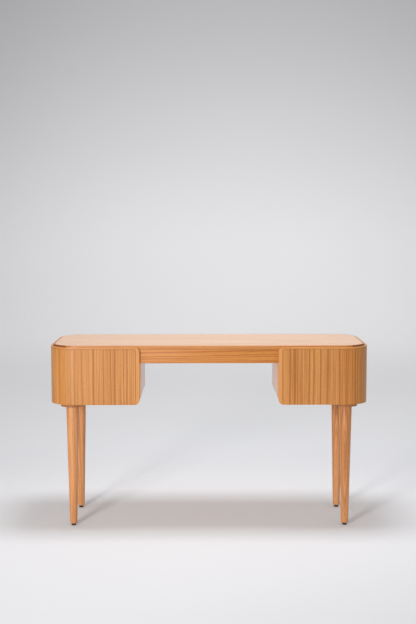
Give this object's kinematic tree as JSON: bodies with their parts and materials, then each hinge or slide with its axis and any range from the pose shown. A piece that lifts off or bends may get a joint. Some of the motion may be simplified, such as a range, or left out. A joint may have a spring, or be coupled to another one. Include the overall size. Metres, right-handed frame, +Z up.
{
  "type": "sewing table",
  "caption": "Wooden sewing table with a thin rounded top, an open knee space, bent-front pedestal drawers and round tapered legs.",
  "frame": {"origin": "on the floor under the middle of the table's box", "axes": "+Z up, +X along the length to the right as seen from the front, -Y out of the drawer fronts towards the sitter"},
  "size_m": [1.3, 0.45, 0.76],
  "materials": {
    "top_veneer": "satin lacquered teak veneer, grain left to right",
    "front_veneer": "satin lacquered striped teak veneer, grain upright",
    "apron_veneer": "satin lacquered teak veneer, grain left to right",
    "case_veneer": "satin lacquered teak veneer, grain upright",
    "solid_teak": "satin lacquered solid teak",
    "leg_teak": "satin lacquered turned teak",
    "beech": "waxed pale beech",
    "plywood": "lightly sealed plywood",
    "steel": "plain zinc plated steel",
    "glide_black": "worn black moulded glide"
  },
  "bodies": {
    "table_frame": {"table_top": "top_veneer", "front_apron": "apron_veneer", "rear_apron": "apron_veneer", "apron_glue_blocks": "beech", "apron_dowels": "beech", "top_screws": "steel", "runner_screws": "steel", "rail_screws": "steel", "leg_bolts": "steel", "left_case_inner_side": "case_veneer", "left_case_outer_side": "case_veneer", "left_case_back": "plywood", "left_case_bottom": "plywood", "left_top_cleats": "beech", "left_drawer_runners": "beech", "left_leg_rail": "solid_teak", "left_front_leg": "leg_teak", "left_rear_leg": "leg_teak", "left_front_glide": "glide_black", "left_rear_glide": "glide_black", "right_case_inner_side": "case_veneer", "right_case_outer_side": "case_veneer", "right_case_back": "plywood", "right_case_bottom": "plywood", "right_top_cleats": "beech", "right_drawer_runners": "beech", "right_leg_rail": "solid_teak", "right_front_leg": "leg_teak", "right_rear_leg": "leg_teak", "right_front_glide": "glide_black", "right_rear_glide": "glide_black"},
    "left_drawer": {"left_drawer_shell": "front_veneer", "left_knee_lipping": "solid_teak", "left_rear_lipping": "solid_teak", "left_top_lipping": "solid_teak", "left_bottom_lipping": "solid_teak", "left_drawer_inner_side": "beech", "left_drawer_outer_side": "beech", "left_drawer_back": "beech", "left_drawer_bottom": "plywood", "left_drawer_batten": "beech", "left_drawer_screws": "steel"},
    "right_drawer": {"right_drawer_shell": "front_veneer", "right_knee_lipping": "solid_teak", "right_rear_lipping": "solid_teak", "right_top_lipping": "solid_teak", "right_bottom_lipping": "solid_teak", "right_drawer_inner_side": "beech", "right_drawer_outer_side": "beech", "right_drawer_back": "beech", "right_drawer_bottom": "plywood", "right_drawer_batten": "beech", "right_drawer_screws": "steel"}
  },
  "joints": [
    {"name": "left_drawer_slide", "type": "slide", "parent": "table_frame", "child": "left_drawer", "axis": [0, -1, 0], "range_m": [0, 0.24]},
    {"name": "right_drawer_slide", "type": "slide", "parent": "table_frame", "child": "right_drawer", "axis": [0, -1, 0], "range_m": [0, 0.24]}
  ]
}
